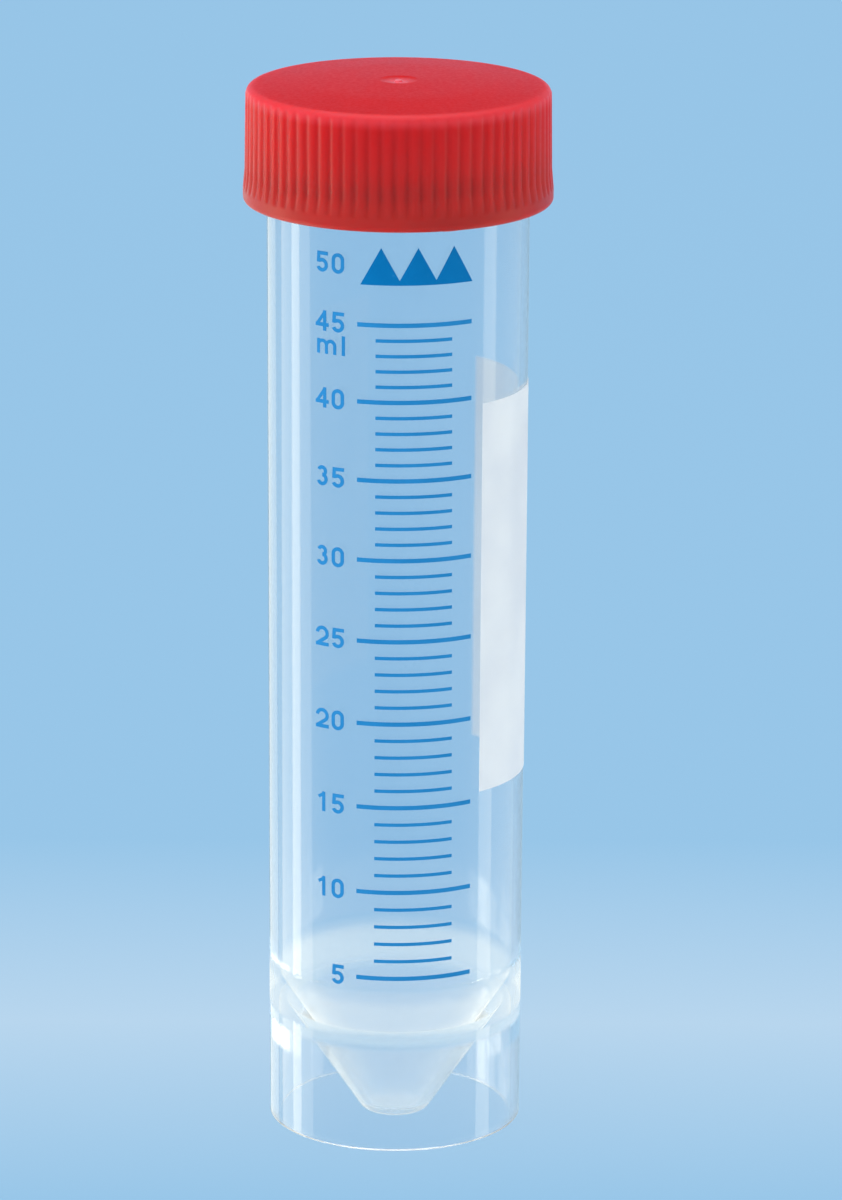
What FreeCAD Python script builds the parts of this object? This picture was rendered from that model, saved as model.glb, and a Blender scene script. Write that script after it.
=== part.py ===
import FreeCAD, Part
import math
import os
import Sketcher

# Self-standing 50 ml centrifuge tube with a screw cap, in millimetres.
# Z is the tube's axis. The skirt stands on z = 0, and the graduations face -Y.
# Angles of the print are counted from the front, towards +X.

DOC = FreeCAD.newDocument("conical_tube")
SHEET = DOC.addObject("Spreadsheet::Sheet", "Sizes")

SIZES = [
    # tube, outside
    ("tube_height", 114.7, "rim above the surface it stands on"),
    ("neck_radius", 14.18, "outside radius at the rim"),
    ("tube_draft", 0.26, "how much narrower the foot's radius is"),
    ("rim_round", 0.25, "rounding of the rim's two edges"),
    # tube, skirt and cone
    ("skirt_wall", 1.05, "thickness of the skirt"),
    ("space_width", 0.76, "top of the ring-shaped space between the skirt and the cone"),
    ("foot_round", 0.25, "rounding of the skirt's two lower edges"),
    ("space_round", 0.25, "rounding at the top of the space in the skirt"),
    ("cone_half_angle", 33.5, "degrees between the axis and the cone's side"),
    ("cone_wall", 1.14, "wall of the cone and of its tip"),
    ("tip_lift", 0.3, "tip above the surface it stands on"),
    ("tip_radius", 3.47, "radius where the cone's side meets the flat tip"),
    ("tip_round", 1.6, "rounding of the tip's outside"),
    ("tip_round_inside", 0.9, "rounding of the tip's inside"),
    # tube, bore
    ("rim_wall", 0.83, "wall at the rim"),
    ("cone_edge_wall", 1.02, "how far inside the foot's radius the bore meets the cone"),
    ("cone_blend", 1.5, "blend from the bore into the cone"),
    # cap
    ("cap_height", 13.13, "overall height"),
    ("cap_top_wall", 1.5, "thickness of the top"),
    ("crown_rise", 0.7, "how far the top's middle stands over its edge"),
    ("shoulder_inset", 7.0, "from the rib crests in to the shoulder of the crown"),
    ("shoulder_drop", 0.2, "how far the shoulder lies under the top's middle"),
    ("thread_room", 1.27, "from the neck to the inside of the cap's side, at the top"),
    ("cap_bore_draft", 0.1, "how much wider the inside of the cap is at the mouth"),
    ("cap_band_wall", 1.13, "wall of the plain band round the cap's mouth"),
    ("cap_band_height", 1.5, "height of the band"),
    ("cap_flare", 0.18, "how far the band stands out from the rib crests"),
    ("cap_flare_height", 2.0, "height over which the side flares into the band"),
    ("cap_draft", 0.12, "how much narrower the rib crests are at the top"),
    ("cap_top_round", 0.9, "rounding of the top edge"),
    ("cap_mouth_round", 0.55, "rounding of the mouth's outer edge"),
    ("rib_count", 72, "grip ribs"),
    ("rib_turn", 1.06, "degrees from the front to the nearest rib"),
    ("groove_depth", 0.38, "depth of the grooves between ribs, at the top"),
    ("groove_mouth", 0.62, "width of a groove at the crests"),
    ("groove_floor", 0.34, "width of a groove's floor"),
    ("plug_clearance", 0.15, "radial clearance of the seal ring in the bore"),
    ("plug_wall", 0.8, "thickness of the seal ring"),
    ("plug_depth", 2.2, "how far the seal ring reaches into the bore"),
    ("plug_round", 0.3, "rounding that leads the seal ring in"),
    ("dimple_radius", 2.1, "gate dimple in the cap's top"),
    ("dimple_floor_radius", 0.9, "flat floor of the dimple"),
    ("dimple_depth", 0.25, "depth of the dimple"),
    ("gate_radius", 0.4, "gate mark in the dimple"),
    ("gate_height", 0.22, "height of the gate mark over the dimple's floor"),
    # print
    ("ink_gap", 0.02, "ink film off the wall"),
    ("ink_film", 0.05, "thickness of an ink film"),
    ("line_width", 0.48, "width of a 5 ml line"),
    ("minor_line_width", 0.37, "width of a 1 ml line"),
    ("major_start", -17.6, "angle where a 5 ml line starts"),
    ("major_end", 33.5, "angle where the 45 ml line ends"),
    ("minor_start", -9.5, "angle where a 1 ml line starts"),
    ("minor_end", 24.0, "angle where a 1 ml line ends, at the height of the 45 ml line"),
    ("end_swing", 2.0, "how much further the 5 ml line's end reaches than the 45 ml line's"),
    ("first_mark", 20.14, "height of the 5 ml line"),
    ("last_mark_drop", 21.45, "from the rim down to the 45 ml line"),
    ("step_loss", 0.209, "how much shorter each 5 ml step is than the one below"),
    ("figure_height", 2.22, "height of a figure"),
    ("figure_width", 1.68, "width of a figure"),
    ("figure_gap", 0.27, "space between two figures"),
    ("figure_stroke", 0.4, "stroke of the figures"),
    ("figure_edge", -23.2, "angle of the figures' right edge"),
    ("unit_drop", 2.49, "unit sign below the figures of the 45 ml line"),
    ("unit_stroke", 0.37, "stroke of the unit sign"),
    ("unit_small_letter", 1.6, "height of the unit sign's small letter"),
    ("unit_tall_letter", 2.14, "height of the unit sign's tall letter"),
    ("unit_stem_pitch", 1.02, "from one stem of the unit sign to the next"),
    ("top_figure_drop", 15.06, "from the rim down to the 50 ml figures' centre"),
    ("triangle_drop", 17.1, "from the rim down to the level triangles' base"),
    ("triangle_height", 4.05, "height of a level triangle"),
    ("triangle_first", -7.2, "angle of the first triangle's point"),
    ("triangle_pitch", 15.95, "angle from one point to the next"),
    ("triangle_half", 9.15, "angle from a point to its triangle's corner"),
    ("field_drop", 30.7, "from the rim down to the top of the writing field"),
    ("field_height", 43.45, "height of the writing field"),
    ("field_start", 40.0, "angle where the writing field starts"),
    ("field_span", 99.9, "angle that the writing field covers"),
]
MINOR_LINES = 4
TRIANGLES = 3
LABELS = ["5", "10", "15", "20", "25", "30", "35", "40", "45", "50"]
FULL_LABEL = len(LABELS) - 1
LAST_LINE = FULL_LABEL - 1
UNIT_STEMS = 4  # three of the m and one of the l

PRINT_ROOM = 20  # degrees of wall to each side of a number or of the triangles
STAMP_START = 1.1  # stamps for the print start here, in radii of the rim
STAMP_DEPTH = 0.3  # and reach this much further in, in radii of the rim
SAME_PLACE = 1e-4  # two rings this close are one

# Shapes of the figures: shares of a figure's width or height, and angles of its bows.
ZERO_WIDTH = 0.88
ONE_STEM = 0.62
ONE_FLAG_ACROSS = 0.22
ONE_FLAG_HEIGHT = 0.72
TWO_BOW = (-40, 172)
TWO_NECK = -38
THREE_UPPER = 0.285
THREE_UPPER_BOW = (-85, 160)
THREE_LOWER = 0.32
THREE_LOWER_BOW = (-160, 85)
FOUR_STEM = 0.7
FOUR_BEAM = 0.3
FIVE_EDGE = 0.14
FIVE_BACK_LOW = (0.1, 0.46)
FIVE_BEAM_END = 0.94
FIVE_BOWL = 0.335
FIVE_BOW = (-158, 128)
THINNER = 0.9  # slanting strokes, as a share of the others

for row, (alias, value, meaning) in enumerate(SIZES, start=1):
    SHEET.set(f"A{row}", alias)
    SHEET.set(f"B{row}", str(value))
    SHEET.setAlias(f"B{row}", alias)
    SHEET.set(f"C{row}", meaning)
DOC.recompute()

# Formulas that several features share.
FOOT_RADIUS = "(Sizes.neck_radius - Sizes.tube_draft)"
SKIRT_RADIUS = f"({FOOT_RADIUS} - Sizes.skirt_wall)"
RIM_BORE = "(Sizes.neck_radius - Sizes.rim_wall)"
CONE_EDGE = f"({FOOT_RADIUS} - Sizes.cone_edge_wall)"
CONE_SLOPE = "tan(Sizes.cone_half_angle)"
CONE_INSET = "(Sizes.cone_wall / cos(Sizes.cone_half_angle))"
CONE_TOP = f"(Sizes.tip_lift + ({CONE_EDGE} + {CONE_INSET} - Sizes.tip_radius) / {CONE_SLOPE})"
SPACE_INNER = f"({SKIRT_RADIUS} - Sizes.space_width)"
SPACE_TOP = f"(Sizes.tip_lift + ({SPACE_INNER} - Sizes.tip_radius) / {CONE_SLOPE})"
TIP_FLOOR = "(Sizes.tip_lift + Sizes.cone_wall)"
TIP_FLOOR_RADIUS = f"(Sizes.tip_radius + Sizes.cone_wall * {CONE_SLOPE} - {CONE_INSET})"
CAP_BORE = "(Sizes.neck_radius + Sizes.thread_room)"
CAP_MOUTH = f"({CAP_BORE} + Sizes.cap_bore_draft)"
CAP_BAND = f"({CAP_MOUTH} + Sizes.cap_band_wall)"
CREST_LOW = f"({CAP_BAND} - Sizes.cap_flare)"
CREST_HIGH = f"({CREST_LOW} - Sizes.cap_draft)"
CAP_EDGE = "(Sizes.cap_height - Sizes.crown_rise)"
CEILING = f"({CAP_EDGE} - Sizes.cap_top_wall)"
SHOULDER_RADIUS = f"({CREST_HIGH} - Sizes.shoulder_inset)"
SHOULDER = "(Sizes.cap_height - Sizes.shoulder_drop)"
PLUG_RADIUS = f"({RIM_BORE} - Sizes.plug_clearance)"
PLUG_INSIDE = f"({PLUG_RADIUS} - Sizes.plug_wall)"
PLUG_END = f"({CEILING} - Sizes.plug_depth)"
DIMPLE_FLOOR = "(Sizes.cap_height - Sizes.dimple_depth)"
GATE_TOP = f"({DIMPLE_FLOOR} + Sizes.gate_height)"


def number(formula):
    return float(SHEET.evalExpression(formula))


def size(alias):
    return number("Sizes." + alias)


def sketch_on(body, name, role):
    planes = [feature for feature in body.Origin.OriginFeatures if feature.Role == role]
    sketch = body.newObject("Sketcher::SketchObject", name)
    sketch.AttachmentSupport = [(planes[0], "")]
    sketch.MapMode = "FlatFace"
    return sketch


def bind_coordinate(sketch, direction, corner, formula):
    """Tie one coordinate of a corner to a formula, or to the sketch's axis."""
    if formula == "0":
        axis = -2 if direction == "X" else -1
        sketch.addConstraint(Sketcher.Constraint("PointOnObject", corner, 1, axis))
        return
    kind = "Distance" + direction
    distance = Sketcher.Constraint(kind, -1, 1, corner, 1, number(formula))
    index = sketch.addConstraint(distance)
    name = f"{direction.lower()}_{corner}"
    sketch.renameConstraint(index, name)
    sketch.setExpression("Constraints." + name, formula)


def polygon(sketch, corners):
    """Draw a closed polygon whose corners' coordinates are formulas."""
    points = [FreeCAD.Vector(number(across), number(up), 0) for across, up in corners]
    count = len(points)
    for index in range(count):
        side = Part.LineSegment(points[index], points[(index + 1) % count])
        sketch.addGeometry(side, False)
    for index in range(count):
        following = (index + 1) % count
        sketch.addConstraint(Sketcher.Constraint("Coincident", index, 2, following, 1))
    for index, (across, up) in enumerate(corners):
        bind_coordinate(sketch, "X", index, across)
        bind_coordinate(sketch, "Y", index, up)


def revolved(body, name, corners):
    """Turn a polygon of radii and heights about the axis."""
    profile = sketch_on(body, name + "_profile", "XZ_Plane")
    polygon(profile, corners)
    turned = body.newObject("PartDesign::Revolution", name)
    turned.Profile = profile
    turned.ReferenceAxis = (profile, ["V_Axis"])
    turned.Angle = 360
    DOC.recompute()
    return turned


def rounded(body, base, name, rings, radius_formula):
    """Round the circular edges at the given radii and heights."""
    wanted = [(number(radius), number(height)) for radius, height in rings]
    names = []
    for index, edge in enumerate(base.Shape.Edges, start=1):
        if not isinstance(edge.Curve, Part.Circle):
            continue
        ring = (edge.Curve.Radius, edge.Curve.Center.z)
        if any(math.dist(ring, place) < SAME_PLACE for place in wanted):
            names.append(f"Edge{index}")
    fillet = body.newObject("PartDesign::Fillet", name)
    fillet.Base = (base, names)
    fillet.setExpression("Radius", radius_formula)
    DOC.recompute()
    return fillet


def make_tube():
    """One moulding: a drafted wall, a cone for its floor and a skirt round the cone."""
    body = DOC.addObject("PartDesign::Body", "Tube")
    body.Label = "tube"
    solid = revolved(body, "tube_wall", [
        (SKIRT_RADIUS, "0"),
        (FOOT_RADIUS, "0"),
        ("Sizes.neck_radius", "Sizes.tube_height"),
        (RIM_BORE, "Sizes.tube_height"),
        (CONE_EDGE, CONE_TOP),
        (TIP_FLOOR_RADIUS, TIP_FLOOR),
        ("0", TIP_FLOOR),
        ("0", "Sizes.tip_lift"),
        ("Sizes.tip_radius", "Sizes.tip_lift"),
        (SPACE_INNER, SPACE_TOP),
        (SKIRT_RADIUS, SPACE_TOP),
    ])
    solid = rounded(body, solid, "rim_edges", [
        ("Sizes.neck_radius", "Sizes.tube_height"),
        (RIM_BORE, "Sizes.tube_height"),
    ], "Sizes.rim_round")
    solid = rounded(body, solid, "foot_edges", [
        (SKIRT_RADIUS, "0"),
        (FOOT_RADIUS, "0"),
    ], "Sizes.foot_round")
    solid = rounded(body, solid, "space_edges", [
        (SPACE_INNER, SPACE_TOP),
        (SKIRT_RADIUS, SPACE_TOP),
    ], "Sizes.space_round")
    solid = rounded(body, solid, "tip_edge", [
        ("Sizes.tip_radius", "Sizes.tip_lift"),
    ], "Sizes.tip_round")
    solid = rounded(body, solid, "tip_floor_edge", [
        (TIP_FLOOR_RADIUS, TIP_FLOOR),
    ], "Sizes.tip_round_inside")
    rounded(body, solid, "cone_blend_edge", [
        (CONE_EDGE, CONE_TOP),
    ], "Sizes.cone_blend")
    return body


def make_cap():
    """One moulding, drawn from its mouth upwards and set on the tube's rim."""
    body = DOC.addObject("PartDesign::Body", "Cap")
    body.Label = "cap"
    solid = revolved(body, "cap_wall", [
        ("0", GATE_TOP),
        ("Sizes.gate_radius", GATE_TOP),
        ("Sizes.gate_radius", DIMPLE_FLOOR),
        ("Sizes.dimple_floor_radius", DIMPLE_FLOOR),
        ("Sizes.dimple_radius", "Sizes.cap_height"),
        (SHOULDER_RADIUS, SHOULDER),
        (CREST_HIGH, CAP_EDGE),
        (CREST_LOW, "Sizes.cap_band_height + Sizes.cap_flare_height"),
        (CAP_BAND, "Sizes.cap_band_height"),
        (CAP_BAND, "0"),
        (CAP_MOUTH, "0"),
        (CAP_BORE, CEILING),
        (PLUG_RADIUS, CEILING),
        (PLUG_RADIUS, PLUG_END),
        (PLUG_INSIDE, PLUG_END),
        (PLUG_INSIDE, CEILING),
        ("0", f"{CEILING} + Sizes.crown_rise"),
    ])
    solid = rounded(body, solid, "top_edge", [
        (CREST_HIGH, CAP_EDGE),
    ], "Sizes.cap_top_round")
    solid = rounded(body, solid, "mouth_edge", [
        (CAP_BAND, "0"),
    ], "Sizes.cap_mouth_round")
    solid = rounded(body, solid, "plug_edge", [
        (PLUG_RADIUS, PLUG_END),
    ], "Sizes.plug_round")
    cut_grip_grooves(body, solid)
    body.setExpression("Placement.Base.z", "Sizes.tube_height - " + CEILING)
    body.setExpression("Placement.Rotation.Angle", "Sizes.rib_turn + 180 / Sizes.rib_count")
    return body


def cut_grip_grooves(body, solid):
    """Cut one groove above the band, open at the top, and repeat it round the cap."""
    floor_radius = f"({CREST_HIGH} - Sizes.groove_depth)"
    floor_half = "(Sizes.groove_floor / 2)"
    flank = "((Sizes.groove_mouth - Sizes.groove_floor) / 2 / Sizes.groove_depth)"
    reach = f"({CAP_BAND} - {floor_radius})"
    mouth_half = f"({floor_half} + {flank} * {reach})"
    section = sketch_on(body, "groove_section", "XY_Plane")
    section.setExpression("AttachmentOffset.Base.z", "Sizes.cap_band_height")
    polygon(section, [
        (floor_radius, "-" + floor_half),
        (CAP_BAND, "-" + mouth_half),
        (CAP_BAND, mouth_half),
        (floor_radius, floor_half),
    ])
    groove = body.newObject("PartDesign::Pocket", "groove")
    groove.Profile = section
    groove.Reversed = True
    groove.setExpression("Length", "Sizes.cap_height")
    DOC.recompute()
    if groove.Shape.Volume >= solid.Shape.Volume:
        raise RuntimeError("the groove cuts nothing")
    grooves = body.newObject("PartDesign::PolarPattern", "grooves")
    grooves.Originals = [groove]
    grooves.Axis = (section, ["N_Axis"])
    grooves.Angle = 360
    grooves.setExpression("Occurrences", "Sizes.rib_count")
    body.Tip = grooves
    DOC.recompute()


def wall_radius(height):
    """Outside radius of the drafted wall at a height."""
    return size("neck_radius") - size("tube_draft") * (1 - height / size("tube_height"))


def turned_by(shape, angle):
    return shape.rotated(FreeCAD.Vector(), FreeCAD.Vector(0, 0, 1), angle)


def film(low, high, start, span):
    """A patch of ink that follows the wall from one angle and over a span."""
    inner_low = wall_radius(low) + size("ink_gap")
    inner_high = wall_radius(high) + size("ink_gap")
    section = Part.Face(Part.makePolygon([
        FreeCAD.Vector(0, -inner_low, low),
        FreeCAD.Vector(0, -inner_low - size("ink_film"), low),
        FreeCAD.Vector(0, -inner_high - size("ink_film"), high),
        FreeCAD.Vector(0, -inner_high, high),
        FreeCAD.Vector(0, -inner_low, low),
    ]))
    patch = section.revolve(FreeCAD.Vector(), FreeCAD.Vector(0, 0, 1), span)
    return turned_by(patch, start)


def ink(label, patches):
    feature = DOC.addObject("Part::Feature", label)
    feature.Label = label
    feature.Shape = Part.makeCompound(patches)
    feature.Placement = FreeCAD.Placement()
    return feature


def mark_height(line):
    """Height of a 5 ml line: the steps shorten as the bore widens towards the rim."""
    first = size("first_mark")
    last = size("tube_height") - size("last_mark_drop")
    raised = size("step_loss") * line * (LAST_LINE - line) / 2
    return first + (last - first) * line / LAST_LINE + raised


def make_lines():
    """A long line every 5 ml, with short 1 ml lines between them."""
    majors = [mark_height(line) for line in range(LAST_LINE + 1)]

    def line(height, width, start, end):
        lowered = (majors[-1] - height) / (majors[-1] - majors[0])
        span = size(end) + size("end_swing") * lowered - size(start)
        half = size(width) / 2
        return film(height - half, height + half, size(start), span)

    patches = [line(height, "line_width", "major_start", "major_end") for height in majors]
    for below, above in zip(majors, majors[1:]):
        for count in range(1, MINOR_LINES + 1):
            height = below + (above - below) * count / (MINOR_LINES + 1)
            patches.append(line(height, "minor_line_width", "minor_start", "minor_end"))
    return ink("graduation_lines", patches)


def make_writing_field():
    high = size("tube_height") - size("field_drop")
    low = high - size("field_height")
    field = film(low, high, size("field_start"), size("field_span"))
    return ink("writing_field", [field])


def flat_point(across, up):
    return FreeCAD.Vector(across, 0, up)


def bar(start, end, stroke):
    """A straight stroke with square ends, in the plane of the figures."""
    run = (end[0] - start[0], end[1] - start[1])
    length = math.hypot(*run)
    side = (-run[1] / length * stroke / 2, run[0] / length * stroke / 2)
    corners = [
        flat_point(start[0] + side[0], start[1] + side[1]),
        flat_point(start[0] - side[0], start[1] - side[1]),
        flat_point(end[0] - side[0], end[1] - side[1]),
        flat_point(end[0] + side[0], end[1] + side[1]),
    ]
    return Part.Face(Part.makePolygon(corners + corners[:1]))


def bow(centre, radius, angles, stroke):
    """A round stroke: part of a ring of the given outer radius, between two angles."""
    start, end = angles
    def arc(distance):
        def point(angle):
            turn = math.radians(angle)
            across = centre[0] + distance * math.cos(turn)
            return flat_point(across, centre[1] + distance * math.sin(turn))
        return Part.Arc(point(start), point((start + end) / 2), point(end)).toShape()
    outer = arc(radius)
    inner = arc(radius - stroke)
    ends = [
        Part.makeLine(outer.Vertexes[index].Point, inner.Vertexes[index].Point)
        for index in (0, 1)
    ]
    return Part.Face(Part.Wire([outer, ends[1], inner, ends[0]]))


def figure_strokes(figure):
    """The strokes of one figure, in a box from the origin to its width and height."""
    wide = size("figure_width")
    high = size("figure_height")
    stroke = size("figure_stroke")
    half = stroke / 2
    middle = wide / 2
    if figure == "0":
        round_end = middle * ZERO_WIDTH
        left = middle - round_end + half
        right = middle + round_end - half
        return [
            bow((middle, high - round_end), round_end, (0, 180), stroke),
            bow((middle, round_end), round_end, (180, 360), stroke),
            bar((left, round_end), (left, high - round_end), stroke),
            bar((right, round_end), (right, high - round_end), stroke),
        ]
    if figure == "1":
        stem = wide * ONE_STEM
        flag = (wide * ONE_FLAG_ACROSS, high * ONE_FLAG_HEIGHT)
        return [
            bar((stem, 0), (stem, high), stroke),
            bar((stem, high - stroke * ONE_STEM), flag, stroke * THINNER),
        ]
    if figure == "2":
        turn = math.radians(TWO_NECK)
        neck = (
            middle + (middle - half) * math.cos(turn),
            high - middle + (middle - half) * math.sin(turn),
        )
        return [
            bow((middle, high - middle), middle, TWO_BOW, stroke),
            bar(neck, (stroke * ONE_STEM, stroke * ONE_STEM), stroke),
            bar((0, half), (wide, half), stroke),
        ]
    if figure == "3":
        upper = high * THREE_UPPER
        lower = high * THREE_LOWER
        return [
            bow((middle, high - upper), upper, THREE_UPPER_BOW, stroke),
            bow((middle, lower), lower, THREE_LOWER_BOW, stroke),
        ]
    if figure == "4":
        stem = wide * FOUR_STEM
        beam = high * FOUR_BEAM
        return [
            bar((stem, 0), (stem, high), stroke),
            bar((stem, high - half), (half, beam), stroke * THINNER),
            bar((0, beam), (wide, beam), stroke),
        ]
    if figure == "5":
        bowl = high * FIVE_BOWL
        edge = wide * FIVE_EDGE
        back_low = (wide * FIVE_BACK_LOW[0] + half, high * FIVE_BACK_LOW[1])
        return [
            bar((edge, high - half), (wide * FIVE_BEAM_END, high - half), stroke),
            bar((edge + half, high), back_low, stroke),
            bow((middle, bowl), bowl, FIVE_BOW, stroke),
        ]
    raise ValueError(figure)


def stamp(strokes):
    """Join strokes into one block that is deep enough to press through the ink."""
    depth = FreeCAD.Vector(0, size("neck_radius") * STAMP_DEPTH, 0)
    blocks = [stroke.extrude(depth) for stroke in strokes]
    if len(blocks) == 1:
        return blocks[0]
    return blocks[0].multiFuse(blocks[1:]).removeSplitter()


def number_stamps(text):
    """The figures of a number, side by side, and the width they take."""
    step = size("figure_width") + size("figure_gap")
    stamps = []
    for index, figure in enumerate(text):
        offset = FreeCAD.Vector(index * step, 0, 0)
        stamps.append(stamp(figure_strokes(figure)).translated(offset))
    return stamps, step * len(text) - size("figure_gap")


def unit_stamps():
    """The unit sign ml in small letters, and the width it takes."""
    stroke = size("unit_stroke")
    half = stroke / 2
    letter = size("unit_small_letter")
    pitch = size("unit_stem_pitch")
    arch = (pitch + stroke) / 2
    stems = [half + pitch * count for count in range(UNIT_STEMS)]
    strokes = [bar((half, 0), (half, letter), stroke)]
    for stem in stems[1:-1]:
        strokes.append(bar((stem, 0), (stem, letter - arch), stroke))
        strokes.append(bow((stem - pitch / 2, letter - arch), arch, (0, 180), stroke))
    tall = bar((stems[-1], 0), (stems[-1], size("unit_tall_letter")), stroke)
    return [stamp(strokes), stamp([tall])], stems[-1] + half


def printed(stamps, width, angle, centre_height):
    """Press figures on the wall, the last one's right edge at an angle."""
    middle = angle - math.degrees(width / 2 / wall_radius(centre_height))
    low = centre_height - size("figure_height") / 2
    skin = film(low, low + size("figure_height"), middle - PRINT_ROOM, 2 * PRINT_ROOM)
    set_out = FreeCAD.Vector(-width / 2, -size("neck_radius") * STAMP_START, low)
    patches = []
    for block in stamps:
        patches += turned_by(block.translated(set_out), middle).common(skin).Solids
    return patches


def make_numerals():
    """The figures beside the 5 ml lines, and the unit under the figures of the last."""
    edge = size("figure_edge")
    patches = []
    for line, text in enumerate(LABELS[:FULL_LABEL]):
        stamps, width = number_stamps(text)
        patches += printed(stamps, width, edge, mark_height(line))
    stamps, width = number_stamps(LABELS[FULL_LABEL])
    patches += printed(stamps, width, edge, size("tube_height") - size("top_figure_drop"))
    stamps, width = unit_stamps()
    patches += printed(stamps, width, edge, mark_height(LAST_LINE) - size("unit_drop"))
    return ink("graduation_numerals", patches)


def make_triangles():
    """Three joined triangles, point up, at the 50 ml level."""
    low = size("tube_height") - size("triangle_drop")
    high = low + size("triangle_height")
    reach = size("neck_radius") * STAMP_START
    half = wall_radius(low) * math.sin(math.radians(size("triangle_half")))
    corners = [
        FreeCAD.Vector(-half, -reach, low),
        FreeCAD.Vector(half, -reach, low),
        FreeCAD.Vector(0, -reach, high),
    ]
    outline = Part.Face(Part.makePolygon(corners + corners[:1]))
    block = outline.extrude(FreeCAD.Vector(0, size("neck_radius") * STAMP_DEPTH, 0))
    first = size("triangle_first")
    pitch = size("triangle_pitch")
    blocks = [turned_by(block, first + pitch * index) for index in range(TRIANGLES)]
    joined = blocks[0].multiFuse(blocks[1:])
    skin = film(low, high, first - PRINT_ROOM, (TRIANGLES - 1) * pitch + 2 * PRINT_ROOM)
    return ink("level_triangles", joined.common(skin).Solids)


NODES = [
    make_tube(),
    make_cap(),
    make_lines(),
    make_numerals(),
    make_triangles(),
    make_writing_field(),
]
DOC.recompute()

for item in DOC.Objects:
    if "Invalid" in item.State or "Error" in item.State:
        raise RuntimeError(f"{item.Name} failed: {item.State}")
for node in NODES:
    if node.Shape.isNull() or not node.Shape.isValid():
        raise RuntimeError(f"{node.Label} has no valid shape")

os.makedirs("parts", exist_ok=True)
for node in NODES:
    node.Shape.exportStep(f"parts/{node.Label}.step")
    box = node.Shape.BoundBox
    print(
        f"{node.Label}: {len(node.Shape.Solids)} solids, {node.Shape.Volume:.2f} mm3,"
        f" z {box.ZMin:.2f} to {box.ZMax:.2f}, width {box.XLength:.2f}"
    )
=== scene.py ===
import math

import bmesh
import bpy
from mathutils import Matrix, Vector


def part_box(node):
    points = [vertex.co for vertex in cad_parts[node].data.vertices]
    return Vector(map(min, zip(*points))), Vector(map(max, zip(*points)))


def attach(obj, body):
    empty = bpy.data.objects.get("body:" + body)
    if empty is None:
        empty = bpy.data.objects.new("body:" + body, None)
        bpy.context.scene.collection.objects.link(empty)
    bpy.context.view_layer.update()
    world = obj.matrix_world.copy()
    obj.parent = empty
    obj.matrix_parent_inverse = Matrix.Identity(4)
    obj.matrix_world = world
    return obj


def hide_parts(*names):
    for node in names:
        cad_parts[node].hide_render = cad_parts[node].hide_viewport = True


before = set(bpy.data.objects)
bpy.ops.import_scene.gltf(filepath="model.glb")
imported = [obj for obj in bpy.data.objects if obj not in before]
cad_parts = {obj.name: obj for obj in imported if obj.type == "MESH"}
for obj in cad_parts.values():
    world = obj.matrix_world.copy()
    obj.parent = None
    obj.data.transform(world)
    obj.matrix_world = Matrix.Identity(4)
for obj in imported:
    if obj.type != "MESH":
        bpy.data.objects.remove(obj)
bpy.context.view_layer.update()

# Self-standing 50 ml screw-cap tube. Lengths are in metres, heights from the floor,
# and angles are turned from the front (-Y) towards +X, unless a comment says otherwise.
MM = 0.001
SAME_PLACE = 1e-7  # two points this close are one

# ------------------------------------------------------------------ sizes
# from the frame
CAP_LOW, CAP_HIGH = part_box("cap")
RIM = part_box("tube")[1].z
CAP_MOUTH_Z = CAP_LOW.z
CAP_TOP_Z = CAP_HIGH.z
BAND_RADIUS = (CAP_HIGH.x - CAP_LOW.x) / 2

# wall, skirt and cone of the tube
NECK_RADIUS = 14.18 * MM
FOOT_RADIUS = NECK_RADIUS - 0.26 * MM
RIM_BORE = NECK_RADIUS - 0.83 * MM
CONE_EDGE = FOOT_RADIUS - 1.02 * MM
CONE_ANGLE = math.radians(33.5)
CONE_SLOPE = math.tan(CONE_ANGLE)
CONE_WALL = 1.14 * MM
CONE_INSET = CONE_WALL / math.cos(CONE_ANGLE)
TIP_LIFT = 0.3 * MM
TIP_RADIUS = 3.47 * MM
TIP_FLOOR = TIP_LIFT + CONE_WALL
TIP_FLOOR_RADIUS = TIP_RADIUS + CONE_WALL * CONE_SLOPE - CONE_INSET
SKIRT_RADIUS = FOOT_RADIUS - 1.05 * MM
SPACE_INNER = SKIRT_RADIUS - 0.76 * MM
SPACE_TOP = TIP_LIFT + (SPACE_INNER - TIP_RADIUS) / CONE_SLOPE
CONE_TOP = TIP_LIFT + (CONE_EDGE + CONE_INSET - TIP_RADIUS) / CONE_SLOPE

# roundings of the tube
EDGE_ROUND = 0.25 * MM
SPACE_ROUND = 0.36 * MM
TIP_ROUND = 1.6 * MM
TIP_ROUND_INSIDE = 0.9 * MM
CONE_BLEND = 3.0 * MM

# thread
THREAD_PITCH = 3.6 * MM
THREAD_LOW = RIM - 8.6 * MM
THREAD_TURNS = 1.6
THREAD_HEIGHT = 0.72 * MM
THREAD_CREST = 0.3 * MM  # half the width of the crest
THREAD_ROOT = 0.85 * MM  # half the width at the wall
THREAD_ROW = 0.14 * MM  # height of the tube's mesh rows along the thread
THREAD_FADE = 0.06  # turns over which the thread's ends fade out
THREAD_BACK = 0.35 * MM  # how deep the back of the cap's thread lies in the wall
THREAD_SINK = 0.1 * MM  # how deep the ends of the cap's thread sink into the wall
THREAD_STEPS = 260

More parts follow.
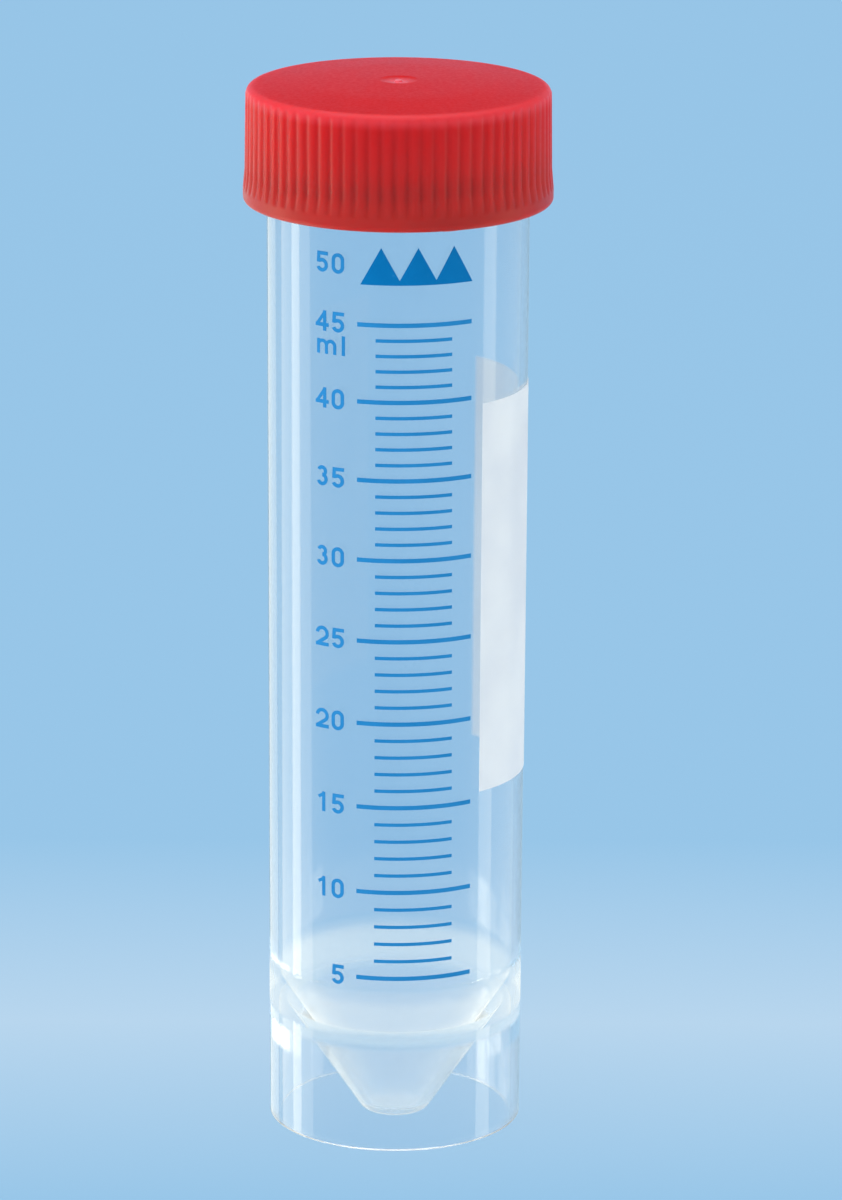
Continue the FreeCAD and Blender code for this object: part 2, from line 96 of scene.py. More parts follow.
# cap
TOP_WALL = 1.5 * MM
CAP_EDGE_Z = CAP_TOP_Z - 0.7 * MM
SHOULDER_Z = CAP_TOP_Z - 0.2 * MM
CEILING_Z = CAP_EDGE_Z - TOP_WALL
CREST_LOW = BAND_RADIUS - 0.18 * MM
CREST_HIGH = CREST_LOW - 0.12 * MM
SHOULDER_RADIUS = CREST_HIGH - 7.0 * MM
SHOULDER_ROUND = 60 * MM
TOP_ROUND = 0.9 * MM
MOUTH_ROUND = 0.55 * MM
MOUTH_ROUND_INSIDE = 0.15 * MM
CEILING_ROUND = 0.3 * MM
BAND_TOP_Z = CAP_MOUTH_Z + 1.5 * MM
FLARE_TOP_Z = BAND_TOP_Z + 2.0 * MM
CAP_BORE = NECK_RADIUS + 1.27 * MM
CAP_MOUTH = CAP_BORE + 0.1 * MM
PLUG_RADIUS = RIM_BORE - 0.15 * MM
PLUG_INSIDE = PLUG_RADIUS - 0.8 * MM
PLUG_END_Z = CEILING_Z - 2.2 * MM
PLUG_ROUND = 0.3 * MM
PLUG_ROOT = 0.1 * MM
DIMPLE_RADIUS = 2.1 * MM
DIMPLE_FLOOR_RADIUS = 0.9 * MM
DIMPLE_Z = CAP_TOP_Z - 0.25 * MM
DIMPLE_ROUND = 1.5 * MM
GATE_RADIUS = 0.4 * MM
GATE_Z = DIMPLE_Z + 0.22 * MM
GATE_ROUND = 0.1 * MM

# grip ribs
RIBS = 72
RIB_TURN = math.radians(1.06)  # from the front to the nearest rib
GROOVE_FLOOR = CREST_HIGH - 0.13 * MM
GROOVE_END_Z = BAND_TOP_Z - 0.1 * MM
GROOVE_RUNOUT = 1.1 * MM
GROOVE_ROWS_LOW = BAND_TOP_Z - 0.2 * MM
GROOVE_ROWS_HIGH = BAND_TOP_Z + 1.4 * MM
GROOVE_ROW = 0.2 * MM

# Across one rib, from the middle of a groove to the crest: distance along the side at the
# crests, and the share of the groove's depth that is cut there.
RIB_PROFILE = (
    (0.0, 1.0),
    (0.10 * MM, 0.93),
    (0.20 * MM, 0.72),
    (0.30 * MM, 0.44),
    (0.40 * MM, 0.2),
    (0.52 * MM, 0.04),
)

TUBE_COLUMNS = 288
CORNER_STEPS = 7
SUPPORT = 0.2 * MM


# ------------------------------------------------------------------ mesh helpers
def smooth_step(share):
    share = min(1.0, max(0.0, share))
    return share * share * (3 - 2 * share)


def rounded_corner(before, corner, after, radius):
    """The arc of a radius that replaces a corner of a contour."""
    here = Vector(corner)
    back = (Vector(before) - here).normalized()
    ahead = (Vector(after) - here).normalized()
    half = math.acos(max(-1.0, min(1.0, back.dot(ahead)))) / 2
    reach = radius / math.tan(half)
    centre = here + (back + ahead).normalized() * (radius / math.sin(half))
    first = here + back * reach - centre
    last = here + ahead * reach - centre
    turn = math.atan2(first.x * last.y - first.y * last.x, first.dot(last))
    points = []
    for step in range(CORNER_STEPS + 1):
        angle = turn * step / CORNER_STEPS
        points.append((
            centre.x + first.x * math.cos(angle) - first.y * math.sin(angle),
            centre.y + first.x * math.sin(angle) + first.y * math.cos(angle),
        ))
    return points


def contour(corners):
    """Turn (radius, height, rounding) corners into points, with support points on long runs."""
    points = []
    for index, (across, up, rounding) in enumerate(corners):
        if rounding:
            before = corners[index - 1][:2]
            after = corners[index + 1][:2]
            points += rounded_corner(before, (across, up), after, rounding)
        else:
            points.append((across, up))
    full = [points[0]]
    for start, end in zip(points, points[1:]):
        run = Vector(end) - Vector(start)
        if run.length > 4 * SUPPORT:
            for share in (SUPPORT / run.length, 1 - SUPPORT / run.length):
                place = Vector(start) + run * share
                full.append((place.x, place.y))
        full.append(end)
    return full


def with_rows(points, low, high, step):
    """Add points to the run of a contour that passes a range of heights."""
    full = [points[0]]
    for start, end in zip(points, points[1:]):
        if min(start[1], end[1]) < low and max(start[1], end[1]) > high:
            count = round((high - low) / step)
            heights = [low + (high - low) * row / count for row in range(count + 1)]
            if end[1] < start[1]:
                heights.reverse()
            for height in heights:
                share = (height - start[1]) / (end[1] - start[1])
                full.append((start[0] + (end[0] - start[0]) * share, height))
        full.append(end)
    return full


def turned(name, points, turns, shape):
    """Turn a contour about the axis. shape(radius, height, turn, index) gives each radius."""
    vertices = []
    rings = []
    for index, (radius, height) in enumerate(points):
        if radius < SAME_PLACE:
            rings.append([len(vertices)])
            vertices.append((0, 0, height))
            continue
        ring = []
        for turn in turns:
            reach = shape(radius, height, turn, index)
            ring.append(len(vertices))
            vertices.append((reach * math.sin(turn), -reach * math.cos(turn), height))
        rings.append(ring)
    faces = []
    count = len(turns)
    for lower, upper in zip(rings, rings[1:]):
        for column in range(count):
            following = (column + 1) % count
            if len(lower) == 1:
                faces.append((lower[0], upper[following], upper[column]))
            elif len(upper) == 1:
                faces.append((lower[column], lower[following], upper[0]))
            else:
                faces.append((lower[column], lower[following], upper[following], upper[column]))
    return solid(name, vertices, faces)


def solid(name, vertices, faces):
    """A closed, smooth-shaded mesh whose faces look outwards."""
    mesh = bpy.data.meshes.new(name)
    mesh.from_pydata(vertices, [], faces)
    shell = bmesh.new()
    shell.from_mesh(mesh)
    if shell.calc_volume(signed=True) < 0:
        bmesh.ops.reverse_faces(shell, faces=shell.faces)
    shell.to_mesh(mesh)
    shell.free()
    mesh.shade_smooth()
    piece = bpy.data.objects.new(name, mesh)
    bpy.context.scene.collection.objects.link(piece)
    return piece


# ------------------------------------------------------------------ node helpers
def linear(red, green, blue):
    """A colour written as it looks on a screen, 0 to 255, for a node's socket."""
    def channel(value):
        value /= 255
        return value / 12.92 if value <= 0.04045 else ((value + 0.055) / 1.055) ** 2.4
    return (channel(red), channel(green), channel(blue), 1.0)


class Tree:
    """Short calls for building a node tree."""

    def __init__(self, owner):
        owner.use_nodes = True
        self.tree = owner.node_tree
        self.tree.nodes.clear()

    def node(self, kind, **sockets):
        made = self.tree.nodes.new(kind)
        for name, value in sockets.items():
            self.feed(made, name.replace("_", " "), value)
        return made

    def feed(self, node, socket, value):
        """Link a value or set it, on the socket of a name or number."""
        socket = node.inputs[socket]
        if isinstance(value, bpy.types.NodeSocket):
            self.tree.links.new(value, socket)
        else:
            socket.default_value = value

    def math(self, operation, *values):
        made = self.tree.nodes.new("ShaderNodeMath")
        made.operation = operation
        for index, value in enumerate(values):
            self.feed(made, index, value)
        return made.outputs[0]

    def chain(self, operation, first, *others):
        for other in others:
            first = self.math(operation, first, other)
        return first

    def product(self, *values):
        return self.chain("MULTIPLY", *values)

    def total(self, *values):
        return self.chain("ADD", *values)

    def most(self, *values):
        return self.chain("MAXIMUM", *values)

    def rest(self, share):
        """What is left of one."""
        return self.math("SUBTRACT", 1.0, share)

    def line(self, value, low, high):
        """The share of the way from low to high, straight and clamped."""
        made = self.tree.nodes.new("ShaderNodeMapRange")
        for index, number in enumerate((value, low, high, 0.0, 1.0)):
            self.feed(made, index, number)
        return made.outputs[0]

    def ramp(self, value, low, high, start=0.0, end=1.0):
        """Carry a value from one range to another, smoothly and clamped."""
        made = self.tree.nodes.new("ShaderNodeMapRange")
        made.interpolation_type = "SMOOTHSTEP"
        for index, number in enumerate((value, low, high, start, end)):
            self.feed(made, index, number)
        return made.outputs[0]

    def rise(self, value, level, first, last):
        """From 0 at the first to 1 at the last of two distances from a level, in millimetres."""
        return self.ramp(value, level + first * MM, level + last * MM)

    def spread(self, noise, start=0.0, end=1.0):
        """Carry the range that most of a noise lies in to another."""
        return self.ramp(noise, 0.3, 0.7, start, end)

    def blend(self, share, first, second):
        """One colour blended into another."""
        made = self.tree.nodes.new("ShaderNodeMix")
        made.data_type = "RGBA"
        self.feed(made, 0, share)
        self.feed(made, 6, first)
        self.feed(made, 7, second)
        return made.outputs[2]

    def mixed(self, share, first, second):
        """One shader blended into another."""
        made = self.tree.nodes.new("ShaderNodeMixShader")
        self.feed(made, 0, share)
        self.feed(made, 1, first.outputs[0])
        self.feed(made, 2, second.outputs[0])
        return made

    def noise(self, scale, detail, roughness, stretch=(1, 1, 1)):
        place = self.tree.nodes.new("ShaderNodeTexCoord").outputs["Object"]
        mapping = self.tree.nodes.new("ShaderNodeMapping")
        mapping.inputs["Scale"].default_value = stretch
        self.tree.links.new(place, mapping.inputs["Vector"])
        made = self.node("ShaderNodeTexNoise", Scale=scale, Detail=detail, Roughness=roughness)
        self.tree.links.new(mapping.outputs[0], made.inputs["Vector"])
        return made.outputs["Fac"]

    def place(self):
        """The point's coordinates x, y, z in metres; in a world, the direction looked at."""
        place = self.tree.nodes.new("ShaderNodeTexCoord").outputs["Object"]
        split = self.tree.nodes.new("ShaderNodeSeparateXYZ")
        self.tree.links.new(place, split.inputs[0])
        return split.outputs

    def radius_and_height(self):
        """The point's distance from the tube's axis, and its height."""
        x, y, z = self.place()
        squares = self.total(self.product(x, x), self.product(y, y))
        return self.math("SQRT", squares), z

    def bump(self, height, strength, distance):
        made = self.node("ShaderNodeBump", Strength=strength, Distance=distance, Height=height)
        return made.outputs[0]

    def surface(self, shader, output="ShaderNodeOutputMaterial"):
        made = self.tree.nodes.new(output)
        self.tree.links.new(shader.outputs[0], made.inputs["Surface"])


def material(name):
    made = bpy.data.materials.new(name)
    return made, Tree(made)


def dress(piece, made):
    piece.data.materials.clear()
    piece.data.materials.append(made)


# ------------------------------------------------------------------ materials
# Milky share of the clear plastic. "Edge" is where a surface is seen edge-on.
WALL_HAZE = 0.004
WALL_EDGE_HAZE = 0.1
CONE_HAZE = 0.03
CONE_EDGE_HAZE = 0.26
TIP_HAZE = 0.12
RING_OUTSIDE_MILK = 0.14
RING_INSIDE_MILK = 0.19
RING_EDGE_MILK = 0.27
RING_INSIDE_EDGE = 0.3  # share of the edge's milk that the ring's inside has
RING_HAZE = 0.35  # share of the haze that is left where the ring is milky


def ring_share(tree, z, inside, outside, leaving):
    """Where the veil stands in for clear plastic, from 0 to 1.

    It fills the solid ring between the skirt's space and the top of the cone. On surfaces
    that rays leave through it reaches further down, because clear plastic there throws
    many of them back, until they run out of bounces and turn black.
    """
    lower = tree.most(
        tree.product(outside, tree.rise(z, SPACE_TOP, -5.0, -4.0)),
        tree.product(inside, tree.rise(z, SPACE_TOP, -3.0, -2.0)),
        tree.product(tree.rest(outside), tree.rise(z, SPACE_TOP, -2.3, -1.5)),
    )
    below = tree.most(tree.rise(z, SPACE_TOP, -0.5, 0.0), tree.product(leaving, lower))
    return tree.product(below, tree.rise(z, CONE_TOP, 2.4, 1.4))


def clear_plastic():
    """Clear polypropylene: milky where the cone is thick, with the flow lines of its moulding."""
    made, tree = material("clear_polypropylene")
    radius, z = tree.radius_and_height()
    streaks = tree.noise(90.0, 4.0, 0.6, (1, 1, 0.12))
    cloud = tree.noise(260.0, 3.0, 0.5)
    waves = tree.noise(45.0, 2.0, 0.5, (1, 1, 0.25))
    facing = tree.node("ShaderNodeLayerWeight", Blend=0.5).outputs["Facing"]
    edge_on = tree.math("POWER", facing, 2.0)
    leaving = tree.node("ShaderNodeNewGeometry").outputs["Backfacing"]

    # shares of the tube's regions
    outside = tree.ramp(radius, CONE_EDGE + 0.2 * MM, FOOT_RADIUS - 0.2 * MM)
    skirt = tree.product(
        tree.ramp(radius, SPACE_INNER, SKIRT_RADIUS - 0.1 * MM),
        tree.rise(z, SPACE_TOP, 0.1, -0.4),
    )
    inside = tree.rest(tree.most(skirt, outside))
    cone = tree.product(inside, tree.rise(z, CONE_TOP, 2.0, 0.0))
    tip = tree.product(cone, tree.rise(z, 0.0, 2.2, 0.3))
    milky = tree.product(tree.rise(z, SPACE_TOP, -0.9, 0.5), tree.rise(z, CONE_TOP, 1.3, -0.2))

    # the plastic itself, with a haze of milk
    haze = tree.total(
        tree.product(tree.math("POWER", facing, 3.5), CONE_EDGE_HAZE),
        tree.product(tip, TIP_HAZE),
        CONE_HAZE,
    )
    haze = tree.total(tree.product(haze, cone), tree.product(edge_on, WALL_EDGE_HAZE), WALL_HAZE)
    haze = tree.product(haze, tree.spread(streaks, 0.9, 1.1))
    rough = tree.total(
        tree.spread(streaks, 0.035, 0.07),
        tree.product(cone, 0.15),
        tree.product(cloud, 0.02),
        tree.ramp(z, 1.0 * MM, 0.3 * MM, 0.0, 0.12),
    )
    plastic = tree.node(
        "ShaderNodeBsdfPrincipled",
        Base_Color=linear(246, 249, 252),
        Roughness=rough,
        IOR=1.49,
        Transmission_Weight=1.0,
        Normal=tree.bump(waves, 0.15, 0.15 * MM),
    )
    milk_colour = linear(238, 236, 226)
    milk = tree.mixed(
        0.5,
        tree.node("ShaderNodeBsdfDiffuse", Color=milk_colour),
        tree.node("ShaderNodeBsdfTranslucent", Color=milk_colour),
    )
    body = tree.mixed(haze, plastic, milk)

    # the veil that rays pass straight through
    edge = tree.product(edge_on, RING_EDGE_MILK)
    inner = tree.total(tree.product(edge, RING_INSIDE_EDGE), RING_INSIDE_MILK)
    density = tree.total(
        tree.product(inside, tree.rest(leaving), inner),
        tree.product(outside, tree.total(edge, RING_OUTSIDE_MILK)),
    )
    density = tree.product(density, milky, tree.spread(cloud, 0.95, 1.05))
    thin = tree.product(haze, tree.ramp(milky, 0.0, 1.0, 1.0, RING_HAZE))
    straight = tree.node("ShaderNodeBsdfTransparent", Color=linear(254, 254, 254))
    veil = tree.mixed(tree.most(thin, density), straight, milk)

    body = tree.mixed(ring_share(tree, z, inside, outside, leaving), body, veil)
    path = tree.node("ShaderNodeLightPath")
    tree.surface(tree.mixed(path.outputs["Is Shadow Ray"], body, straight))
    return made


def red_plastic():
    """Red polyethylene, see-through enough to glow at its edges. Painted light: a brighter red
    towards the top, and painted highlights round the gate and on the rib tops.
    """
    made, tree = material("red_polyethylene")
    radius, z = tree.radius_and_height()
    grain = tree.noise(2600.0, 4.0, 0.6)
    flow = tree.noise(160.0, 3.0, 0.55, (1, 1, 0.3))
    colour = tree.blend(tree.spread(flow), linear(163, 39, 34), linear(169, 43, 38))
    # Painted light: the red turns brighter and deeper from the mouth up to the top, standing in for
    # light from above glowing down through the plastic.
    colour = tree.blend(tree.ramp(z, CAP_MOUTH_Z, CAP_EDGE_Z), colour, linear(193, 23, 27))
    # Painted highlight: the dimple round the gate is painted pale pink where the light from above
    # catches its curved floor.
    gate_highlight = tree.product(
        tree.ramp(radius, DIMPLE_RADIUS, 0.2 * MM, 0.0, 0.45),
        tree.ramp(z, CAP_EDGE_Z, SHOULDER_Z),
    )
    colour = tree.blend(gate_highlight, colour, linear(244, 150, 168))
    # Painted highlight: a paler pink along the top edge's rounding and the upper ends of the ribs,
    # where the light from above catches them.
    edge = tree.product(
        tree.ramp(radius, CREST_HIGH - 1.2 * MM, CREST_HIGH - 0.3 * MM, 0.0, 0.14),
        tree.rise(z, CAP_EDGE_Z, -1.7, -0.6),
    )
    colour = tree.blend(edge, colour, linear(240, 130, 150))
    tree.surface(tree.node(
        "ShaderNodeBsdfPrincipled",
        Base_Color=colour,
        Roughness=tree.spread(grain, 0.34, 0.44),
        IOR=1.5,
        Specular_IOR_Level=0.18,
        Subsurface_Weight=1.0,
        Subsurface_Radius=(1.0, 0.1, 0.08),
        Subsurface_Scale=4.0 * MM,
        Normal=tree.bump(grain, 0.2, 0.02 * MM),
    ))
    return made


def blue_ink(name, first, second):
    """Screen-printed ink, uneven between two blues, with pale specks."""
    made, tree = material(name)
    speckle = tree.noise(1800.0, 4.0, 0.65)
    patches = tree.noise(220.0, 2.0, 0.5)
    colour = tree.blend(tree.spread(patches), first, second)
    colour = tree.blend(tree.ramp(speckle, 0.62, 0.8, 0.0, 0.35), colour, linear(80, 155, 210))
    tree.surface(tree.node(
        "ShaderNodeBsdfPrincipled",
        Base_Color=colour,
        Roughness=tree.spread(speckle, 0.42, 0.55),
        IOR=1.5,
        Specular_IOR_Level=0.05,
        Normal=tree.bump(speckle, 0.3, 0.01 * MM),
    ))
    return made


def white_ink():
    """Matt white writing field that lets some light through, with a fine tooth for a pen."""
    made, tree = material("white_writing_field")
    tooth = tree.noise(2200.0, 5.0, 0.7)
    patches = tree.noise(120.0, 3.0, 0.5)
    colour = tree.blend(tree.spread(patches), linear(234, 239, 244), linear(241, 245, 248))
    ink = tree.node(
        "ShaderNodeBsdfPrincipled",
        Base_Color=colour,
        Roughness=tree.spread(tooth, 0.6, 0.75),
        IOR=1.5,
        Specular_IOR_Level=0.3,
        Normal=tree.bump(tooth, 0.35, 0.02 * MM),
    )
    tree.surface(tree.mixed(0.45, ink, tree.node("ShaderNodeBsdfTranslucent", Color=colour)))
    return made


# ------------------------------------------------------------------ pieces
def thread_rise(turn, height):
    """How far the tube's right-hand thread stands out at a turn and height."""
    best = 0.0
    share = turn / (2 * math.pi)
    for lap in range(math.ceil(THREAD_TURNS) + 1):
        along = share + lap
        if along > THREAD_TURNS:
            continue
        off = abs(height - THREAD_LOW - THREAD_PITCH * along)
        side = smooth_step((THREAD_ROOT - off) / (THREAD_ROOT - THREAD_CREST))
        end = smooth_step(min(along, THREAD_TURNS - along) / THREAD_FADE)
        best = max(best, side * end)
    return best * THREAD_HEIGHT


def make_tube():
    """The moulded tube: cone, wall, rim with its thread, and skirt."""
    points = contour([
        (0, TIP_FLOOR, 0),
        (TIP_FLOOR_RADIUS, TIP_FLOOR, TIP_ROUND_INSIDE),
        (CONE_EDGE, CONE_TOP, CONE_BLEND),
        (RIM_BORE, RIM, EDGE_ROUND),
        (NECK_RADIUS, RIM, EDGE_ROUND),
        (FOOT_RADIUS, 0, EDGE_ROUND),
        (SKIRT_RADIUS, 0, EDGE_ROUND),
        (SKIRT_RADIUS, SPACE_TOP, SPACE_ROUND),
        (SPACE_INNER, SPACE_TOP, SPACE_ROUND),
        (TIP_RADIUS, TIP_LIFT, TIP_ROUND),
        (0, TIP_LIFT, 0),
    ])
    low = THREAD_LOW - THREAD_ROOT
    high = THREAD_LOW + THREAD_TURNS * THREAD_PITCH + THREAD_ROOT
    points = with_rows(points, low, high, THREAD_ROW)
    outer_wall = FOOT_RADIUS + EDGE_ROUND / 2

    def shape(radius, height, turn, index):
        if radius < outer_wall or height < low:
            return radius
        return radius + thread_rise(turn, height)

    turns = [2 * math.pi * column / TUBE_COLUMNS for column in range(TUBE_COLUMNS)]
    piece = turned("tube_body", points, turns, shape)
    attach(piece, "tube")
    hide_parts("tube")
    dress(piece, clear_plastic())


def cap_turns():
    """Columns round the cap, closer together at the ribs' flanks, each with its groove share."""
    pitch = 2 * math.pi / RIBS
    turns = []
    for rib in range(RIBS):
        middle = RIB_TURN + pitch * (rib + 0.5)
        for off, share in RIB_PROFILE:
            turns.append((middle + off / CREST_HIGH, share))
        turns.append((middle + pitch / 2, 0.0))
        for off, share in RIB_PROFILE[:0:-1]:
            turns.append((middle + pitch - off / CREST_HIGH, share))
    return turns


def make_cap(red):
    """The ribbed screw cap with its seal ring."""
    groove_shares = dict(cap_turns())
    points = contour([
        (0, GATE_Z, 0),
        (GATE_RADIUS, GATE_Z, GATE_ROUND),
        (GATE_RADIUS, DIMPLE_Z, GATE_ROUND),
        (DIMPLE_FLOOR_RADIUS, DIMPLE_Z, DIMPLE_ROUND),
        (DIMPLE_RADIUS, CAP_TOP_Z, DIMPLE_ROUND),
        (SHOULDER_RADIUS, SHOULDER_Z, SHOULDER_ROUND),
        (CREST_HIGH, CAP_EDGE_Z, TOP_ROUND),
        (CREST_LOW, FLARE_TOP_Z, 0),
        (BAND_RADIUS, BAND_TOP_Z, 0),
        (BAND_RADIUS, CAP_MOUTH_Z, MOUTH_ROUND),
        (CAP_MOUTH, CAP_MOUTH_Z, MOUTH_ROUND_INSIDE),
        (CAP_BORE, CEILING_Z, CEILING_ROUND),
        (PLUG_RADIUS, CEILING_Z, PLUG_ROOT),
        (PLUG_RADIUS, PLUG_END_Z, PLUG_ROUND),
        (PLUG_INSIDE, PLUG_END_Z, PLUG_ROUND),
        (PLUG_INSIDE, CEILING_Z, PLUG_ROOT),
        (0, CAP_TOP_Z - TOP_WALL, 0),
    ])
    points = with_rows(points, GROOVE_ROWS_LOW, GROOVE_ROWS_HIGH, GROOVE_ROW)
    mouth = next(i for i, point in enumerate(points) if point[1] < CAP_MOUTH_Z + SAME_PLACE)

    def shape(radius, height, turn, index):
        if index >= mouth or radius <= GROOVE_FLOOR:
            return radius
        runout = smooth_step((height - GROOVE_END_Z) / GROOVE_RUNOUT)
        return radius - (radius - GROOVE_FLOOR) * groove_shares[turn] * runout

    piece = turned("cap_shell", points, list(groove_shares), shape)
    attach(piece, "cap")
    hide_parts("cap")
    dress(piece, red)


def make_cap_thread(red):
    """A helical ridge on the inside of the cap, half a pitch below the tube's."""
    section = (
        (THREAD_BACK, -THREAD_ROOT),
        (0.0, -THREAD_ROOT),
        (-THREAD_HEIGHT * 0.8, -THREAD_CREST * 1.2),
        (-THREAD_HEIGHT, -THREAD_CREST * 0.6),
        (-THREAD_HEIGHT, THREAD_CREST * 0.6),
        (-THREAD_HEIGHT * 0.8, THREAD_CREST * 1.2),
        (0.0, THREAD_ROOT),
        (THREAD_BACK, THREAD_ROOT),
    )
    widening = (CAP_MOUTH - CAP_BORE) / (CEILING_Z - CAP_MOUTH_Z)
    vertices = []
    for step in range(THREAD_STEPS + 1):
        along = THREAD_TURNS * step / THREAD_STEPS
        turn = 2 * math.pi * along
        height = THREAD_LOW - THREAD_PITCH / 2 + THREAD_PITCH * along
        wall = CAP_MOUTH - widening * (height - CAP_MOUTH_Z)
        end = smooth_step(min(along, THREAD_TURNS - along) / THREAD_FADE)
        for out, up in section:
            reach = wall + (out if out > 0 else out * end + THREAD_SINK * (1 - end))
            level = height + up * (0.3 + 0.7 * end)
            vertices.append((reach * math.sin(turn), -reach * math.cos(turn), level))
    count = len(section)
    last = THREAD_STEPS * count
    faces = [tuple(range(count)), tuple(range(last, last + count))[::-1]]
    for step in range(THREAD_STEPS):
        for corner in range(count):
            following = (corner + 1) % count
            faces.append((
                step * count + corner, (step + 1) * count + corner,
                (step + 1) * count + following, step * count + following,
            ))
    piece = solid("cap_thread", vertices, faces)
    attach(piece, "cap")
    dress(piece, red)


def dress_print():
    """The printed CAD nodes keep their shape and get their inks."""
    inks = {
        "graduation_lines": blue_ink("blue_lines", linear(34, 127, 188), linear(40, 132, 193)),
        "graduation_numerals": blue_ink("blue_figures", linear(38, 128, 190), linear(44, 133, 195)),
        "level_triangles": blue_ink("blue_triangles", linear(0, 109, 172), linear(2, 114, 178)),
        "writing_field": white_ink(),
    }
    for name, ink in inks.items():
        dress(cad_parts[name], ink)


# ------------------------------------------------------------------ studio
BACKDROP = linear(151, 197, 231)
BACKDROP_BAND = linear(183, 213, 237)
PALE_TABLE = linear(214, 220, 226)
MIRRORED_WALL = linear(45, 54, 62)  # the studio's dark wall, as gloss shows it
MIRRORED_CEILING = linear(225, 236, 244)
WORLD_COLOUR = (0.93, 0.96, 1.0, 1.0)
WORLD_LIGHT = 0.78

FLOOR_SIZE = 6.0
FLOOR_SINK = 0.02 * MM
FLOOR_OWN = 0.95  # share of the floor's own colour where it is seen; the rest takes shadow
BAND_FAR = 96 * MM
BAND_MIDDLE = 28 * MM
BAND_NEAR = -30 * MM

LAMP_AIM = 0.06
WHITE = (1.0, 1.0, 1.0)
WARM = (1.0, 0.86, 0.6)
# name, turn in degrees, height, distance, width and height of the lamp, watts, colour, and
# whether gloss mirrors it
LAMPS = (
    ("strip_left", -101, -0.25, 0.6, 0.13, 0.8, 1.15, WARM, True),
    ("wing_left", -103, -0.25, 0.65, 0.54, 0.8, 2.3, WARM, True),
    ("card_left", -149, -0.25, 0.8, 0.4, 0.9, 1.1, WARM, True),
    ("strip_right", 88, -0.25, 0.6, 0.18, 0.8, 1.0, WARM, True),
    ("overhead", -20, 1.1, 0.12, 0.9, 0.9, 3.5, WHITE, True),
    ("fill_left", -62, 0.5, 0.9, 0.8, 0.8, 5.1, WHITE, False),
    ("fill_right", 75, 0.5, 0.9, 0.8, 0.8, 1.7, WHITE, False),
)

# the photograph's camera
CAMERA_PLACE = Vector((0.0, -662.62, 249.20)) * MM
CAMERA_AIM = Vector((2.664, 0.0, 59.06)) * MM
CAMERA_ROLL = math.radians(0.2945)
CAMERA_LENS = 189.15  # millimetres, as Blender takes it
CAMERA_SENSOR = 36.0


def seen_rays(tree):
    """One for rays from the camera, from gloss and through clear plastic, else zero."""
    path = tree.node("ShaderNodeLightPath").outputs
    return tree.most(path["Is Camera Ray"], path["Is Glossy Ray"], path["Is Transmission Ray"])


def make_world():
    """Even light on the part, with the blue backdrop where it is seen and a studio in gloss."""
    world = bpy.data.worlds.new("studio")
    bpy.context.scene.world = world
    tree = Tree(world)
    path = tree.node("ShaderNodeLightPath").outputs
    z = tree.place()[2]
    mirrored = tree.product(path["Is Glossy Ray"], tree.rest(path["Is Transmission Ray"]))
    wall = tree.product(mirrored, tree.ramp(z, 0.1, 0.36))
    ceiling = tree.product(mirrored, tree.ramp(z, 0.6, 0.9))
    seen = tree.blend(wall, BACKDROP, MIRRORED_WALL)
    seen = tree.blend(ceiling, seen, MIRRORED_CEILING)
    light = tree.node("ShaderNodeBackground", Color=WORLD_COLOUR, Strength=WORLD_LIGHT)
    shown = tree.node("ShaderNodeBackground", Color=seen, Strength=1.0)
    tree.surface(tree.mixed(seen_rays(tree), light, shown), "ShaderNodeOutputWorld")


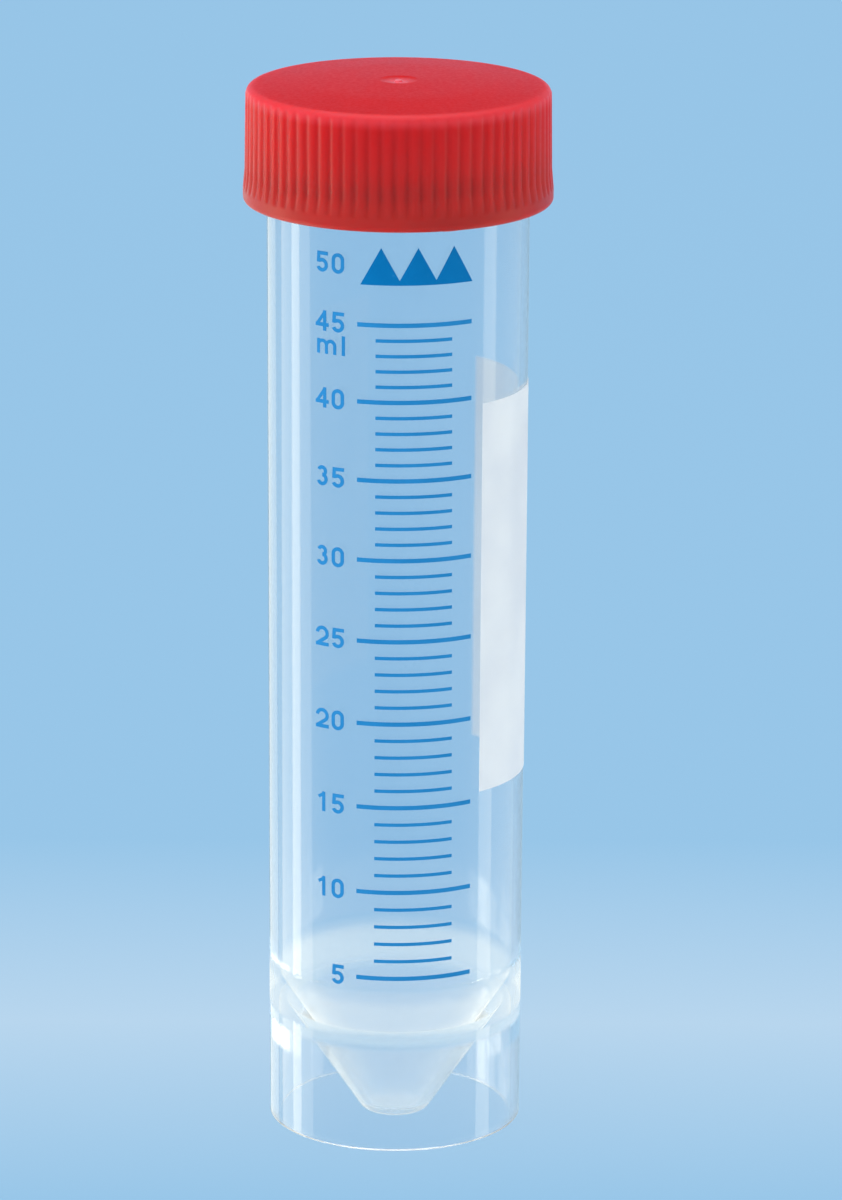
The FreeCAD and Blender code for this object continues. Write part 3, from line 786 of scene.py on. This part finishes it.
def make_floor():
    """A pale blue table top with a lighter band across it."""
    mesh = bpy.data.meshes.new("floor")
    corners = [
        (-FLOOR_SIZE, -FLOOR_SIZE, 0), (FLOOR_SIZE, -FLOOR_SIZE, 0),
        (FLOOR_SIZE, FLOOR_SIZE, 0), (-FLOOR_SIZE, FLOOR_SIZE, 0),
    ]
    mesh.from_pydata(corners, [], [(0, 1, 2, 3)])
    floor = bpy.data.objects.new("floor", mesh)
    floor.location.z = -FLOOR_SINK
    bpy.context.scene.collection.objects.link(floor)
    made, tree = material("floor")
    y = tree.place()[1]
    band = tree.product(tree.line(y, BAND_FAR, BAND_MIDDLE), tree.line(y, BAND_NEAR, BAND_MIDDLE))
    colour = tree.blend(band, BACKDROP, BACKDROP_BAND)
    seen = seen_rays(tree)
    lit = tree.node("ShaderNodeBsdfDiffuse", Color=tree.blend(seen, PALE_TABLE, colour))
    own = tree.node("ShaderNodeEmission", Color=colour, Strength=1.0)
    tree.surface(tree.mixed(tree.product(seen, FLOOR_OWN), lit, own))
    dress(floor, made)
    floor.visible_glossy = False
    floor.visible_shadow = False


def make_lamp(name, turn, lift, distance, width, height, power, colour, mirrored):
    """A soft box at a turn from the front and a height, facing the tube."""
    lamp = bpy.data.lights.new(name, "AREA")
    lamp.shape = "RECTANGLE"
    lamp.size = width
    lamp.size_y = height
    lamp.energy = power
    lamp.color = colour
    made = bpy.data.objects.new(name, lamp)
    angle = math.radians(turn)
    made.location = (distance * math.sin(angle), -distance * math.cos(angle), lift)
    away = made.location - Vector((0, 0, LAMP_AIM))
    made.rotation_euler = away.to_track_quat("Z", "Y").to_euler()
    made.visible_camera = False
    made.visible_transmission = False
    made.visible_glossy = mirrored
    bpy.context.scene.collection.objects.link(made)


def make_camera():
    """The photograph's camera: its place, its aim, its small roll and its long lens."""
    ahead = (CAMERA_AIM - CAMERA_PLACE).normalized()
    right = ahead.cross(Vector((0, 0, 1))).normalized()
    up = right.cross(ahead)
    tilted_right = right * math.cos(CAMERA_ROLL) + up * math.sin(CAMERA_ROLL)
    tilted_up = up * math.cos(CAMERA_ROLL) - right * math.sin(CAMERA_ROLL)
    camera = bpy.data.cameras.new("camera")
    camera.lens = CAMERA_LENS
    camera.sensor_width = CAMERA_SENSOR
    camera.clip_start = 0.05
    camera.clip_end = 50.0
    made = bpy.data.objects.new("camera", camera)
    rotation = Matrix((tilted_right, tilted_up, -ahead)).transposed()
    made.matrix_world = Matrix.Translation(CAMERA_PLACE) @ rotation.to_4x4()
    bpy.context.scene.collection.objects.link(made)
    bpy.context.scene.camera = made


bpy.context.scene.view_settings.view_transform = "Standard"
make_camera()
make_world()
make_floor()
for lamp in LAMPS:
    make_lamp(*lamp)

cap_red = red_plastic()
make_tube()
make_cap(cap_red)
make_cap_thread(cap_red)
dress_print()
